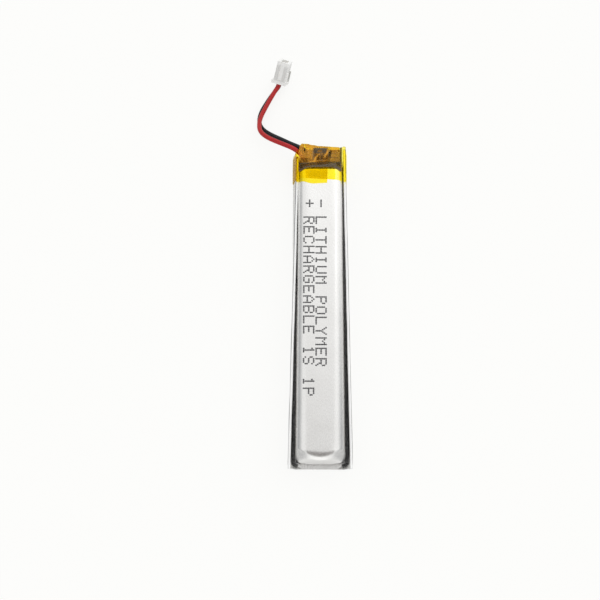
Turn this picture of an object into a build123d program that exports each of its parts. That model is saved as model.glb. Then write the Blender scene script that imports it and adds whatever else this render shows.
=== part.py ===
"""Single-cell lithium pouch battery with a protection board and a two-way plug.

Millimetres. X is the cell's width, +Y runs from the folded end to the end with the
board, +Z points up from the flat back sheet. The origin lies on the back, in the
middle of the cell without its lead.
"""
from build123d import *
import math
import os

# ---------------------------------------------------------------- driving sizes
CELL_LENGTH = 70.0
CELL_THICKNESS = 7.0
BODY_WIDTH = 10.0
FILM = 0.15                     # aluminium laminate
BODY_CORNER = 2.35              # drawing radius round the tub's face
FOOT_END_Y = -CELL_LENGTH / 2
TUB_FOOT_Y = FOOT_END_Y + 1.1   # the fold strip lies before it
TUB_HEAD_Y = 29.6               # the terrace lies behind it
FLAP_END_Y = 34.2
LEAD_SIDE_FLAP_END_Y = 33.0     # trimmed where the leads pass
FLAP_CORNER = 2.4
RIM_HEIGHT = 6.15
HEM = 2.5
FOOT_BASE_X, FOOT_RIM_X = 5.8, 6.7
HEAD_BASE_X, HEAD_RIM_X = 6.0, 5.45
TERRACE_TOP = 0.5

ROLL_FOOT_Y, ROLL_HEAD_Y = -31.8, 27.6
ROLL_TURNS = 7
ROLL_PITCH = 0.40
ROLL_CORE = 0.10                # half the height of the hollow left by the winding pin
ROLL_FLAT = 1.6                 # half the flat stretch of a turn
ROLL_CENTRE_X, ROLL_CENTRE_Z = 0.1, 3.43
CATHODE, ANODE, SEPARATOR = 0.15, 0.16, 0.025
SHEET_GAP = 0.005

TAB_X = 2.3
TAB_WIDTH, TAB_THICK = 1.5, 0.1
SEAL_HEIGHT = 0.2

BOARD_X = 4.45
BOARD_FOOT_Y, BOARD_HEAD_Y = 30.1, 34.6
BOARD_BOTTOM, BOARD_TOP = 3.2, 4.0

TAPE = 0.06
TAPE_START_Y = 26.5
TAPE_STEP_Y = 29.64
TAPE_END_Y = 33.25
TAPE_OVER_BOARD = 5.6

WIRE_R, BORE_R, CORE_R = 0.5, 0.22, 0.2
PLUG_PITCH = 1.25
PLUG_WIDE, PLUG_THICK, PLUG_LONG = 3.8, 2.7, 5.0
PLUG_TILT, PLUG_YAW = 37.0, 18.0
PLUG_CENTRE = Vector(-9.12, 51.62, 1.54)        # middle of the wire end
JACKET_DEPTH, CORE_DEPTH = 1.6, 2.5             # how far each reaches into the plug

# Way of each lead from the board to the plug's wire end
RED_ROUTE = [
    (-3.4, 32.0, 4.62), (-4.3, 33.2, 4.85), (-5.6, 34.2, 5.4), (-7.5, 35.0, 5.65),
    (-9.7, 36.2, 5.25), (-11.7, 37.8, 4.45), (-13.1, 39.7, 3.5), (-13.8, 42.0, 2.6),
    (-13.5, 44.3, 1.9), (-12.5, 46.4, 1.65), (-11.45, 47.95, 1.6), (-10.4, 49.3, 1.6),
    (-9.42, 50.69, 1.59),
]
BLACK_ROUTE = [
    (-2.8, 33.75, 4.62), (-4.4, 34.9, 4.75), (-6.0, 35.9, 4.8), (-8.0, 36.7, 4.35),
    (-10.0, 37.9, 3.55), (-11.8, 39.5, 2.45), (-13.1, 41.4, 1.25), (-13.75, 43.5, 0.56),
    (-13.35, 45.5, 0.51), (-12.45, 47.2, 0.51), (-11.3, 48.7, 0.51), (-10.2, 50.0, 0.51),
    (-9.21, 51.35, 0.55),
]
RED_PAD = [(-2.6, 30.9, 4.25), (-3.0, 31.4, 4.35)]
BLACK_PAD = [(-1.35, 32.4, 4.25), (-1.9, 32.95, 4.35)]

nodes = {}


def flat_box(x0, x1, y0, y1, z0, z1):
    """Box between two corners."""
    box = Box(x1 - x0, y1 - y0, z1 - z0, align=(Align.MIN, Align.MIN, Align.MIN))
    return Pos(x0, y0, z0) * box


# ---------------------------------------------------------------------- pouch
def tub_solid(skin):
    """Drawn body with its faces moved in by skin; the cavity reaches through the flange."""
    half = BODY_WIDTH / 2 - skin
    foot = TUB_FOOT_Y + skin
    head = TUB_HEAD_Y - skin
    bottom = FILM - 2 * skin
    block = flat_box(-half, half, foot, head, bottom, CELL_THICKNESS - skin)
    upright = block.edges().filter_by(Axis.Z)
    block = fillet(upright, BODY_CORNER + 0.05 - skin)
    rim = block.faces().sort_by(Axis.Z)[-1].edges()
    return fillet(rim, BODY_CORNER - skin)


def flap_point(base_x, rim_x, depth, below=None, height=None):
    """Point of the right flap: depth inwards, and below its rim or at a height."""
    length = math.hypot(rim_x - base_x, RIM_HEIGHT)
    up_x, up_z = (rim_x - base_x) / length, RIM_HEIGHT / length
    start_x, start_z = base_x - up_z * depth, up_x * depth
    if height is None:
        along = length - below
    else:
        along = (height - start_z) / up_z
    return start_x + up_x * along, start_z + up_z * along


def back_outline(base_x, rim_x):
    """Right half of the back sheet's section, from just under the back, where it is cut off flat."""
    def spot(depth, **place):
        return flap_point(base_x, rim_x, depth * FILM, **place)
    return [
        spot(0, height=-FILM), spot(0, below=0), spot(4, below=0), spot(4, below=HEM),
        spot(3, below=HEM), spot(3, below=FILM), spot(1, below=FILM), spot(1, height=FILM),
    ]


def flange_outline(base_x, rim_x):
    """Right half of the front film's flange: flat, up the flap and once folded down."""
    def spot(depth, **place):
        return flap_point(base_x, rim_x, depth * FILM, **place)
    return [
        spot(1, height=FILM), spot(1, below=FILM), spot(3, below=FILM),
        spot(3, below=HEM), spot(2, below=HEM), spot(2, height=2 * FILM),
    ]


def folded_sheet(outline):
    """Both flaps and the flat between them, ruled from the foot end to the board end."""
    sections = []
    for y, base_x, rim_x in (
        (FOOT_END_Y, FOOT_BASE_X, FOOT_RIM_X),
        (FLAP_END_Y, HEAD_BASE_X, HEAD_RIM_X),
    ):
        right = outline(base_x, rim_x)
        left = [(-x, z) for x, z in reversed(right)]
        corners = [(x, y, z) for x, z in right + left]
        sections.append(make_face(Polyline(*corners, close=True)))
    return loft(sections, ruled=True)


def flap_trim(side, end_y):
    """Cutter that ends one flap at end_y with a rounded upper corner."""
    inner, outer = 4.6, 8.0
    low = 0.9
    keep = flat_box(inner, outer, 0, end_y, low - 1, RIM_HEIGHT + 1)
    corner_z = RIM_HEIGHT - FLAP_CORNER
    corner = flat_box(inner, outer, end_y - FLAP_CORNER, end_y + 1, corner_z, RIM_HEIGHT + 1)
    disc = Cylinder(FLAP_CORNER, outer - inner, rotation=(0, 90, 0))
    corner -= Pos((inner + outer) / 2, end_y - FLAP_CORNER, corner_z) * disc
    beyond = flat_box(inner, outer, end_y, FLAP_END_Y + 1, low, RIM_HEIGHT + 1)
    cutter = beyond + (keep & corner)
    return cutter if side > 0 else mirror(cutter, Plane.YZ)


def trim_flaps(sheet):
    sheet -= flap_trim(1, FLAP_END_Y)
    sheet -= flap_trim(-1, LEAD_SIDE_FLAP_END_Y)
    return sheet


def seal_box(x):
    """Room of one tab's seal in the terrace."""
    half = TAB_WIDTH / 2 + 0.45
    return flat_box(x - half, x + half, TUB_HEAD_Y + 0.3, FLAP_END_Y - 0.4, FILM, FILM + SEAL_HEIGHT)


def tab_slot(x):
    """Passage of one tab through the resin, on both sides of its seal."""
    half = TAB_WIDTH / 2
    mid = FILM + SEAL_HEIGHT / 2
    low, high = mid - TAB_THICK / 2, mid + TAB_THICK / 2
    return flat_box(x - half, x + half, TUB_HEAD_Y - 1, FLAP_END_Y + 1, low, high)


# The film is drawn thinner under the tape, so that the tape is flush with the back.
back = trim_flaps(folded_sheet(back_outline))
back -= flat_box(-8, 8, FOOT_END_Y - 1, FLAP_END_Y + 1, -1, 0)
back -= flat_box(-8, 8, TAPE_START_Y - 0.1, FLAP_END_Y + 1, -1, TAPE)
nodes["pouch_back_sheet"] = back

tub = folded_sheet(flange_outline) + tub_solid(0)
tub += flat_box(-4.9, 4.9, TUB_HEAD_Y - 0.1, FLAP_END_Y, FILM, TERRACE_TOP)
tub -= tub_solid(FILM)
tub = trim_flaps(tub)
for side in (-1, 1):
    tub -= seal_box(side * TAB_X)
    tub -= tab_slot(side * TAB_X)
nodes["pouch_tub"] = tub


# ------------------------------------------------------------- electrode roll
def spiral(radius_shift):
    """Edges of the winding line, moved outwards by radius_shift."""
    edges = []
    for turn in range(ROLL_TURNS):
        top = ROLL_CORE + turn * ROLL_PITCH + radius_shift
        bottom = top + ROLL_PITCH / 2
        next_top = top + ROLL_PITCH
        right_x, left_x = ROLL_FLAT, -ROLL_FLAT
        middle = (bottom + top) / 2
        edges.append(Line((left_x, top), (right_x, top)))
        right_mid = (right_x + middle, (top - bottom) / 2)
        edges.append(ThreePointArc((right_x, top), right_mid, (right_x, -bottom)))
        edges.append(Line((right_x, -bottom), (left_x, -bottom)))
        outer = (bottom + next_top) / 2
        left_mid = (left_x - outer, (next_top - bottom) / 2)
        edges.append(ThreePointArc((left_x, -bottom), left_mid, (left_x, next_top)))
    return edges


def wound_sheet(inner, thick, foot, head):
    """One sheet of the roll: a band between two winding lines, as long as the roll."""
    inside = spiral(inner)
    outside = spiral(inner + thick)
    start = Line(inside[0] @ 0, outside[0] @ 0)
    end = Line(inside[-1] @ 1, outside[-1] @ 1)
    band = make_face(inside + [end] + outside + [start])
    solid = extrude(band, amount=head - foot)
    return Pos(ROLL_CENTRE_X, head, ROLL_CENTRE_Z) * Rot(90, 0, 0) * solid


layer = 0.0
for name, thick, inset in (
    ("separator_inner", SEPARATOR, 0.0),
    ("anode_sheet", ANODE, 0.8),
    ("separator_outer", SEPARATOR, 0.0),
    ("cathode_sheet", CATHODE, 1.3),
):
    nodes[name] = wound_sheet(layer, thick, ROLL_FOOT_Y + inset, ROLL_HEAD_Y - inset)
    layer += thick + SHEET_GAP

roll_top = ROLL_CENTRE_Z + ROLL_CORE + ROLL_TURNS * ROLL_PITCH + layer
nodes["roll_end_tape"] = flat_box(-1.4, 1.4, -26, 22, roll_top, roll_top + 0.05)


# ------------------------------------------------------------- tabs and seals
def tab(x):
    """Strip from under the roll, out through the terrace and folded under the board."""
    mid = FILM + SEAL_HEIGHT / 2
    up_y = FLAP_END_Y + 0.15
    path = FilletPolyline(
        (x, 20, mid), (x, up_y, mid), (x, up_y, BOARD_BOTTOM - 0.07), (x, 31.2, BOARD_BOTTOM - 0.07),
        radius=0.2,
    )
    section = Plane(path @ 0, x_dir=(1, 0, 0), z_dir=path % 0) * Rectangle(TAB_WIDTH, TAB_THICK)
    return sweep(section, path=path)


for side, name in ((-1, "positive"), (1, "negative")):
    strip = tab(side * TAB_X)
    nodes[name + "_tab"] = strip
    nodes["tab_seal_" + name] = seal_box(side * TAB_X) - strip


# ----------------------------------------------------------- protection board
nodes["spacer_pad"] = flat_box(-4.3, 4.3, 30.1, 33.9, TERRACE_TOP + 0.02, 1.85)
nodes["board_insulator"] = flat_box(-4.35, 4.35, 30.1, 34.1, 1.87, 1.97)
board = flat_box(-BOARD_X, BOARD_X, BOARD_FOOT_Y, BOARD_HEAD_Y, BOARD_BOTTOM, BOARD_TOP)
nodes["circuit_board"] = fillet(board.edges().filter_by(Axis.Z), 0.3)


def small_outline_chip(upwards):
    """Moulded body on six bent leads, standing on z = 0 or hanging from it."""
    body = Pos(0, 0, 0.6) * Box(2.9, 1.5, 1.0)
    body = chamfer(body.faces().sort_by(Axis.Z)[-1].edges(), 0.12)
    for column in (-1, 0, 1):
        for side in (-1, 1):
            foot = flat_box(-0.18, 0.18, 0.7, 1.05, 0, 0.12)
            rise = flat_box(-0.18, 0.18, 0.7, 0.82, 0, 0.6)
            lead = Pos(column * 0.95, 0, 0) * (foot + rise)
            body += lead if side > 0 else mirror(lead, Plane.XZ)
    return body if upwards else mirror(body, Plane.XY)


def chip_part(x, y, length, width, height):
    """Ceramic chip with two metal ends, on the board's top."""
    body = fillet(Box(length, width, height).edges(), 0.04)
    return Pos(x, y, BOARD_TOP + 0.01 + height / 2) * body


nodes["protection_ic"] = Pos(0.5, 33.3, BOARD_TOP + 0.01) * small_outline_chip(True)
nodes["switch_mosfet"] = Pos(0, 32.3, BOARD_BOTTOM - 0.01) * small_outline_chip(False)
nodes["sense_resistors"] = Compound(children=[
    chip_part(3.1, 33.9, 1.0, 0.5, 0.35),
    chip_part(3.1, 33.0, 1.0, 0.5, 0.35),
])
nodes["filter_capacitor"] = chip_part(3.2, 31.6, 1.6, 0.8, 0.8)


# ----------------------------------------------------------------------- lead
tilt, yaw = math.radians(PLUG_TILT), math.radians(PLUG_YAW)
plug_axis = Vector(
    math.sin(yaw) * math.cos(tilt), math.cos(yaw) * math.cos(tilt), math.sin(tilt)
)
plug_across = Vector(
    math.sin(yaw) * math.sin(tilt), math.cos(yaw) * math.sin(tilt), -math.cos(tilt)
)
plug_plane = Plane(PLUG_CENTRE, x_dir=plug_across, z_dir=plug_axis)
red_entry = PLUG_CENTRE - plug_across * (PLUG_PITCH / 2)
black_entry = PLUG_CENTRE + plug_across * (PLUG_PITCH / 2)


def bend_radii(points):
    """Largest arc that each corner's two runs allow."""
    points = [Vector(point) for point in points]
    radii = []
    for before, corner, after in zip(points, points[1:], points[2:]):
        run_in, run_out = corner - before, after - corner
        half_turn = math.radians(run_in.get_angle(run_out)) / 2
        radii.append(0.45 * min(run_in.length, run_out.length) / math.tan(half_turn))
    return radii


def lead_path(name, points):
    """Straight runs joined by tangent arcs."""
    radii = bend_radii(points)
    print(name, "radii", [round(radius, 1) for radius in radii])
    return FilletPolyline(*points, radius=radii)


def round_bar(path, radius):
    section = Plane(path @ 0, z_dir=path % 0) * Circle(radius)
    return sweep(section, path=path)


cores = {}
for name, route, pad, entry in (
    ("red", RED_ROUTE, RED_PAD, red_entry),
    ("black", BLACK_ROUTE, BLACK_PAD, black_entry),
):
    jacket_path = lead_path(name + " jacket", route + [tuple(entry + plug_axis * JACKET_DEPTH)])
    outer = round_bar(jacket_path, WIRE_R)
    bore = round_bar(jacket_path, BORE_R)
    jacket = outer - bore
    nodes[name + "_wire"] = jacket
    core_path = lead_path(name + " core", pad + route + [tuple(entry + plug_axis * CORE_DEPTH)])
    core = round_bar(core_path, CORE_R)
    cores[name] = core
    nodes[name + "_wire_core"] = core
    expected = math.pi * WIRE_R ** 2 * jacket_path.length
    print(name, "jacket length", round(jacket_path.length, 2), "volume ratio",
          round(outer.volume / expected, 4))


def solder_cone(pad):
    """Fillet of solder on the board, under and round the end of the strands."""
    cone = Cone(0.55, 0.3, 0.35, align=(Align.CENTER, Align.CENTER, Align.MIN))
    return Pos(pad[0][0], pad[0][1], BOARD_TOP + 0.01) * cone


nodes["solder_joints"] = Compound(children=[
    solder_cone(RED_PAD) - cores["red"],
    solder_cone(BLACK_PAD) - cores["black"],
])


# ----------------------------------------------------------------------- plug
# Boxes here are in the plug's own axes: across the two ways, through the plug, along it.
half_wide, half_thick = PLUG_WIDE / 2, PLUG_THICK / 2
rib_face = half_thick + 0.35
flange_long, rib_long = 0.6, 2.9
housing = flat_box(-half_wide, half_wide, -half_thick, half_thick, 0, PLUG_LONG)
housing = fillet(housing.edges().filter_by(Axis.Z), 0.2)
housing += flat_box(-half_wide, half_wide, -rib_face, rib_face, 0, flange_long)
for side in (-1, 1):
    rib_u = side * (half_wide - 0.45)
    housing += flat_box(rib_u - 0.3, rib_u + 0.3, -rib_face, 0, 0, rib_long)
    groove_u = side * half_wide
    housing -= flat_box(groove_u - 0.25, groove_u + 0.25, -0.45, 0.45, 1.0, PLUG_LONG + 1)
    u = side * PLUG_PITCH / 2
    wire_hole = Cylinder(WIRE_R + 0.04, 2 * (JACKET_DEPTH + 0.1))
    cavity = flat_box(u - 0.5, u + 0.5, -0.7, 0.7, JACKET_DEPTH + 0.1, PLUG_LONG + 1)
    lance_window = flat_box(u - 0.4, u + 0.4, 0.4, rib_face, 2.4, 3.5)
    housing -= Pos(u, 0, 0) * wire_hole + cavity + lance_window
nodes["connector_housing"] = plug_plane * housing


def contact(u):
    """Crimp barrel round the strands, then a box that takes the header's square pin."""
    barrel = Pos(u, 0, 1.8) * Cylinder(0.4, 0.9, align=(Align.CENTER, Align.CENTER, Align.MIN))
    barrel -= Pos(u, 0, 1.8) * Cylinder(CORE_R + 0.01, 1.8)
    cage = flat_box(u - 0.42, u + 0.42, -0.6, 0.6, 2.6, 4.5)
    cage -= flat_box(u - 0.34, u + 0.34, -0.52, 0.52, 2.7, 5.0)
    return barrel + cage


for u, name in ((-PLUG_PITCH / 2, "positive"), (PLUG_PITCH / 2, "negative")):
    nodes["contact_" + name] = plug_plane * contact(u)


# ----------------------------------------------------------------------- tape
def tape_outline(grow, over_tub):
    """Closed section of the sleeve round the flaps, grown outwards by grow."""
    right = [(6.08 + grow, TAPE - grow), (5.62 + grow, RIM_HEIGHT + 0.07 + grow)]
    if over_tub:
        right.append((3.2, CELL_THICKNESS + 0.02 + grow))
    else:
        right.append((4.82 - grow / 2, RIM_HEIGHT + 0.07 + grow))
        right.append((4.62 - grow, TAPE_OVER_BOARD + grow))
    left = [(-x, z) for x, z in reversed(right)]
    return right + left


def prism(outline, y0, y1):
    corners = [(x, y0, z) for x, z in outline]
    return extrude(make_face(Polyline(*corners, close=True)), amount=y1 - y0, dir=(0, 1, 0))


def sleeve(over_tub, y0, y1):
    outside = prism(tape_outline(TAPE, over_tub), y0, y1)
    return outside - prism(tape_outline(0, over_tub), y0 - 1, y1 + 1)


step = prism(tape_outline(TAPE, True), TAPE_STEP_Y, TAPE_STEP_Y + TAPE)
step -= prism(tape_outline(0, False), TAPE_STEP_Y - 1, TAPE_STEP_Y + 1)
wrap = sleeve(True, TAPE_START_Y, TAPE_STEP_Y + TAPE) + step
nodes["tape_wrap"] = wrap + sleeve(False, TAPE_STEP_Y, TAPE_END_Y)

strip_left, strip_right = -2.3, 4.55
strip_end_y = CELL_LENGTH / 2
strip = flat_box(strip_left, strip_right, TAPE_END_Y + 0.02, strip_end_y, 0, TAPE_OVER_BOARD + TAPE)
inside_end_y = strip_end_y - TAPE
strip -= flat_box(strip_left - 1, strip_right + 1, TAPE_START_Y, inside_end_y, TAPE, TAPE_OVER_BOARD)
nodes["tape_end_strip"] = strip

# ---------------------------------------------------------------------- export
os.makedirs("parts", exist_ok=True)
for name, shape in nodes.items():
    export_step(shape, os.path.join("parts", name + ".step"))
print(len(nodes), "nodes written")
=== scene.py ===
"""A slim lithium pouch cell lying on its back, with its taped board and its short twin lead."""
import math

import bmesh
import bpy
from mathutils import Matrix, Vector, noise
from mathutils.bvhtree import BVHTree


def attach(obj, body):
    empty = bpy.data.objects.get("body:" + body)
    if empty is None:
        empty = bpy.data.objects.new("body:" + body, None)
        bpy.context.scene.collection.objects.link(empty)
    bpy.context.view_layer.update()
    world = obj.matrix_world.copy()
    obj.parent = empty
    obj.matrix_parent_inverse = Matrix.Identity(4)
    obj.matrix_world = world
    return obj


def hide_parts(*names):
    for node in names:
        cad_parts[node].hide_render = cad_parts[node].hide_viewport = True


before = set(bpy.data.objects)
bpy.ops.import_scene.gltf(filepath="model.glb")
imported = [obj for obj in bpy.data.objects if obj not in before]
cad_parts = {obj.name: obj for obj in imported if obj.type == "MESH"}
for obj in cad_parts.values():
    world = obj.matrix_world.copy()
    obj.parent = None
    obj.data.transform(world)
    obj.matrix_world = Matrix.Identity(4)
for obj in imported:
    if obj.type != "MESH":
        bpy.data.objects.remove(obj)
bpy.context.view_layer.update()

# Camera. It stands 200 mm from the cell, 12 degrees short of straight above it, towards the
# folded end, and is rolled a quarter of a degree. It looks at a point a little left of the cell,
# so that the lead is in view.
MM = 0.001
AIM = Vector((-4.29, 0.66, 3.5)) * MM
CAMERA_FROM_AIM = 200 * MM
CAMERA_LEAN = math.radians(12)
CAMERA_ROLL = math.radians(0.27)

camera_data = bpy.data.cameras.new("camera")
camera_data.lens = 56
camera_data.sensor_width = 36
camera = bpy.data.objects.new("camera", camera_data)
away = Vector((0, -math.sin(CAMERA_LEAN), math.cos(CAMERA_LEAN)))
camera.location = AIM + away * CAMERA_FROM_AIM
leaning = Matrix.Rotation(CAMERA_LEAN, 3, "X") @ Matrix.Rotation(CAMERA_ROLL, 3, "Z")
camera.rotation_euler = leaning.to_euler()
bpy.context.collection.objects.link(camera)
bpy.context.scene.camera = camera


# Leads. Two limp silicone-covered leads of tinned strands, soldered to the board at one end and
# crimped in the plug at the other. The red one lies on the black one where they turn towards
# the plug.
class Field:
    """A socket of a node tree that Python's operators work on."""

    def __init__(self, shading, socket):
        self.shading = shading
        self.socket = socket

    def math(self, operation, *values):
        return self.shading.add("ShaderNodeMath", {"operation": operation}, dict(enumerate(values)))

    def __add__(self, other):
        return self.math("ADD", self, other)

    def __sub__(self, other):
        return self.math("SUBTRACT", self, other)

    def __rsub__(self, other):
        return self.math("SUBTRACT", other, self)

    def __mul__(self, other):
        return self.math("MULTIPLY", self, other)

    def __pow__(self, other):
        return self.math("POWER", self, other)

    def __abs__(self):
        return self.math("ABSOLUTE", self)

    def most(self, other):
        return self.math("MAXIMUM", self, other)

    def rise(self, low, high):
        """0 below low, 1 above high, and smooth between them."""
        return self.shading.add(
            "ShaderNodeMapRange",
            {"interpolation_type": "SMOOTHSTEP"},
            {"Value": self, "From Min": low, "From Max": high},
        )

    __radd__ = __add__
    __rmul__ = __mul__


class Shading:
    """A node tree that is built one node at a time."""

    def __init__(self, owner):
        owner.use_nodes = True
        self.tree = owner.node_tree

    def add(self, kind, settings=None, inputs=None, output=0):
        """Adds a node with its settings and the values or links of its sockets."""
        node = self.tree.nodes.new(kind)
        for key, value in (settings or {}).items():
            setattr(node, key, value)
        for key, value in (inputs or {}).items():
            self.feed(node.inputs[key], value)
        return Field(self, node.outputs[output])

    def feed(self, socket, value):
        if isinstance(value, Field):
            self.tree.links.new(value.socket, socket)
        else:
            socket.default_value = value

    def place(self, stretch=(1, 1, 1)):
        """Object coordinates in millimetres, stretched along the axes."""
        at = self.add("ShaderNodeTexCoord", output="Object")
        scale = [value / MM for value in stretch]
        return self.add("ShaderNodeMapping", inputs={"Vector": at, "Scale": scale})

    def parts(self, vector):
        """The three numbers of a vector, or of a place in millimetres."""
        split = self.add("ShaderNodeSeparateXYZ", inputs={"Vector": vector}).socket.node
        return [Field(self, socket) for socket in split.outputs]

    def grain(self, at, scale, detail=3.0):
        return self.add("ShaderNodeTexNoise", inputs={"Vector": at, "Scale": scale, "Detail": detail})

    def tint(self, factor, first, second):
        """Colour between two colours."""
        ends = {0: factor, 6: first, 7: second}
        return self.add("ShaderNodeMix", {"data_type": "RGBA"}, ends, output=2)

    def relief(self, height, distance):
        """Normal of a fine relief that is distance deep, in millimetres."""
        return self.add("ShaderNodeBump", inputs={"Height": height, "Distance": distance * MM})


def new_finish(name):
    """Material with one Principled shader, and the shading that its nodes go into."""
    material = bpy.data.materials.new(name)
    shading = Shading(material)
    return material, shading, shading.tree.nodes["Principled BSDF"]


def dress(shading, shader, **values):
    """Sets or links the shader's sockets; an underscore in a name stands for a space."""
    for name, value in values.items():
        shading.feed(shader.inputs[name.replace("_", " ")], value)


def insulation(name, dark, light, roughness):
    """Soft silicone rubber with a dull gloss."""
    material, shading, shader = new_finish(name)
    at = shading.place()
    mottle = shading.grain(at, 0.9)
    fine = shading.grain(at, 14.0)
    dress(
        shading, shader,
        Base_Color=shading.tint(mottle, dark, light),
        Roughness=roughness + 0.12 * fine,
        Normal=shading.relief(fine, 0.012),
        Coat_Weight=0.08,
        Coat_Roughness=0.3,
        Specular_IOR_Level=0.3,
    )
    return material


def metal_finish(name, dark, light, roughness, grain_scale=4.0, stretch=(1, 1, 1)):
    """Bare metal with a fine grain."""
    material, shading, shader = new_finish(name)
    grain = shading.grain(shading.place(stretch), grain_scale)
    dress(
        shading, shader,
        Base_Color=shading.tint(grain, dark, light),
        Metallic=1.0,
        Roughness=roughness + 0.15 * grain,
        Normal=shading.relief(grain, 0.004),
    )
    return material


def repaint(node, material):
    """Gives a CAD node that is shown as it is its finish."""
    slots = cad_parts[node].data.materials
    slots.clear()
    slots.append(material)


WIRE_DIAMETER, CORE_DIAMETER = 1.0 * MM, 0.4 * MM
JACKET_DEPTH, CORE_DEPTH = 1.6, 2.5
PLUG_TILT, PLUG_YAW = math.radians(37), math.radians(18)
PLUG_PITCH = 1.25
PLUG_CENTRE = Vector((-9.12, 51.62, 1.54))
plug_axis = Vector((
    math.sin(PLUG_YAW) * math.cos(PLUG_TILT),
    math.cos(PLUG_YAW) * math.cos(PLUG_TILT),
    math.sin(PLUG_TILT),
))
plug_across = Vector((
    math.sin(PLUG_YAW) * math.sin(PLUG_TILT),
    math.cos(PLUG_YAW) * math.sin(PLUG_TILT),
    -math.cos(PLUG_TILT),
))
# The strands lie bare on the board's two pads before they go into their jackets.
RED_PAD = [(-2.6, 30.9, 4.25), (-3.0, 31.4, 4.35)]
BLACK_PAD = [(-1.35, 32.4, 4.25), (-1.9, 32.95, 4.35)]
RED_ROUTE = [
    (-3.4, 32.0, 4.62), (-4.3, 33.2, 4.9), (-5.6, 34.15, 5.45), (-7.7, 35.05, 5.6),
    (-9.8, 36.1, 5.0), (-11.9, 37.4, 4.2), (-13.4, 39.1, 3.2), (-13.7, 41.2, 2.3),
    (-13.35, 43.2, 1.75), (-12.3, 45.5, 1.6), (-11.2, 47.7, 1.6), (-10.1, 49.7, 1.6),
    (-9.42, 50.69, 1.59),
]
BLACK_ROUTE = [
    (-2.8, 33.75, 4.62), (-4.4, 34.75, 4.85), (-6.4, 35.65, 4.55), (-8.7, 37.15, 3.6),
    (-10.9, 38.65, 2.3), (-12.8, 40.3, 1.15), (-13.65, 41.9, 0.56), (-13.7, 43.4, 0.51),
    (-13.2, 45.1, 0.51), (-12.2, 46.9, 0.51), (-11.1, 48.7, 0.51), (-10.0, 50.3, 0.51),
    (-9.21, 51.35, 0.55),
]


def strand(name, route, way, depth, diameter, material):
    """Round strand along its route that goes to a depth into the given way of the plug."""
    entry = PLUG_CENTRE + plug_across * (way * PLUG_PITCH / 2)
    points = [Vector(point) for point in route] + [entry + plug_axis * depth]
    curve = bpy.data.curves.new(name, "CURVE")
    curve.dimensions = "3D"
    curve.resolution_u = 12
    curve.bevel_depth = diameter / 2
    curve.bevel_resolution = 6
    curve.use_fill_caps = True
    line = curve.splines.new("NURBS")
    line.points.add(len(points) - 1)
    for knot, point in zip(line.points, points):
        knot.co = (*(point * MM), 1)
    line.order_u = 3
    line.use_endpoint_u = True
    curve.materials.append(material)
    piece = bpy.data.objects.new(name, curve)
    bpy.context.collection.objects.link(piece)
    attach(piece, "root")
    return piece


red_silicone = insulation("red_silicone", (0.36, 0.008, 0.01, 1), (0.56, 0.02, 0.02, 1), 0.34)
black_silicone = insulation(
    "black_silicone", (0.002, 0.0025, 0.004, 1), (0.006, 0.008, 0.012, 1), 0.3,
)
tinned = metal_finish("tinned_strands", (0.62, 0.52, 0.42, 1), (0.78, 0.72, 0.64, 1), 0.28)
red_lead = strand("red_lead", RED_ROUTE, -1, JACKET_DEPTH, WIRE_DIAMETER, red_silicone)
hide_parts("red_wire")
black_lead = strand("black_lead", BLACK_ROUTE, 1, JACKET_DEPTH, WIRE_DIAMETER, black_silicone)
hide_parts("black_wire")
red_core = strand("red_core", RED_PAD + RED_ROUTE, -1, CORE_DEPTH, CORE_DIAMETER, tinned)
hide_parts("red_wire_core")
black_core = strand("black_core", BLACK_PAD + BLACK_ROUTE, 1, CORE_DEPTH, CORE_DIAMETER, tinned)
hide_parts("black_wire_core")

# Back film. The flat aluminium laminate under the cell; its edges stand up as the outer layer
# of both side flaps and are folded inwards and down again as a hem.
FILM = 0.15
FOOT_Y, HEAD_Y = -35.0, 34.2
TUB_HEAD_Y = 29.6
LEAD_SIDE_END_Y = 33.0
BASE_HALF, BASE_SPREAD = 5.8, 0.2
RIM_HALF, RIM_HEIGHT = 6.75, 6.15
RIM_LEAN = {-1: 1.6, 1: 1.25}
RIM_WANDER, FLAP_BOW = 0.04, 0.05
FLAP_CORNERS = {-1: 2.4, 1: 1.0}
EAR_LENGTH, EAR_DEPTH = 1.35, 1.8
HEM, HEM_START, HEM_CLEARANCE = 2.5, 0.4, 1.0
FLAP_STARTS_AT, TURN_STARTS_AT, TURN_MIDDLE = 0.4, 0.5, 0.3
BEND_START, BEND_MIDDLE, BEND_LIFT = 0.35, 0.13, 0.05
SECTION_STEPS, HEM_STEPS = 6, 3
FOOT_BAND, BODY_BAND, HEAD_BAND = 0.15, 1.1, 0.34
FLAP_FROM_X, FLAP_FROM_Z = 4.0, 0.8


def glide(low, high, value):
    """0 to 1 with a smooth start and end, as value goes from low to high."""
    t = min(max((value - low) / (high - low), 0), 1)
    return t * t * (3 - 2 * t)


def flap_feet(y, side):
    """Distance of a flap's base and of its rim from the middle; the left one leans in more."""
    along = (y - FOOT_Y) / (HEAD_Y - FOOT_Y)
    ear = EAR_DEPTH * (1 - glide(FOOT_Y, FOOT_Y + EAR_LENGTH, y))
    return BASE_HALF + BASE_SPREAD * along - ear, RIM_HALF - RIM_LEAN[side] * along


def rim_height(y, side):
    """Height of the flap's rim, which is rounded off at the board end."""
    end = HEAD_Y if side > 0 else LEAD_SIDE_END_Y
    radius = FLAP_CORNERS[side]
    into = min(max(y - (end - radius), 0), radius)
    height = RIM_HEIGHT - radius + math.sqrt(radius ** 2 - into ** 2)
    return height + RIM_WANDER * noise.noise(Vector((side * 7, y * 0.35, 3)))


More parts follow.
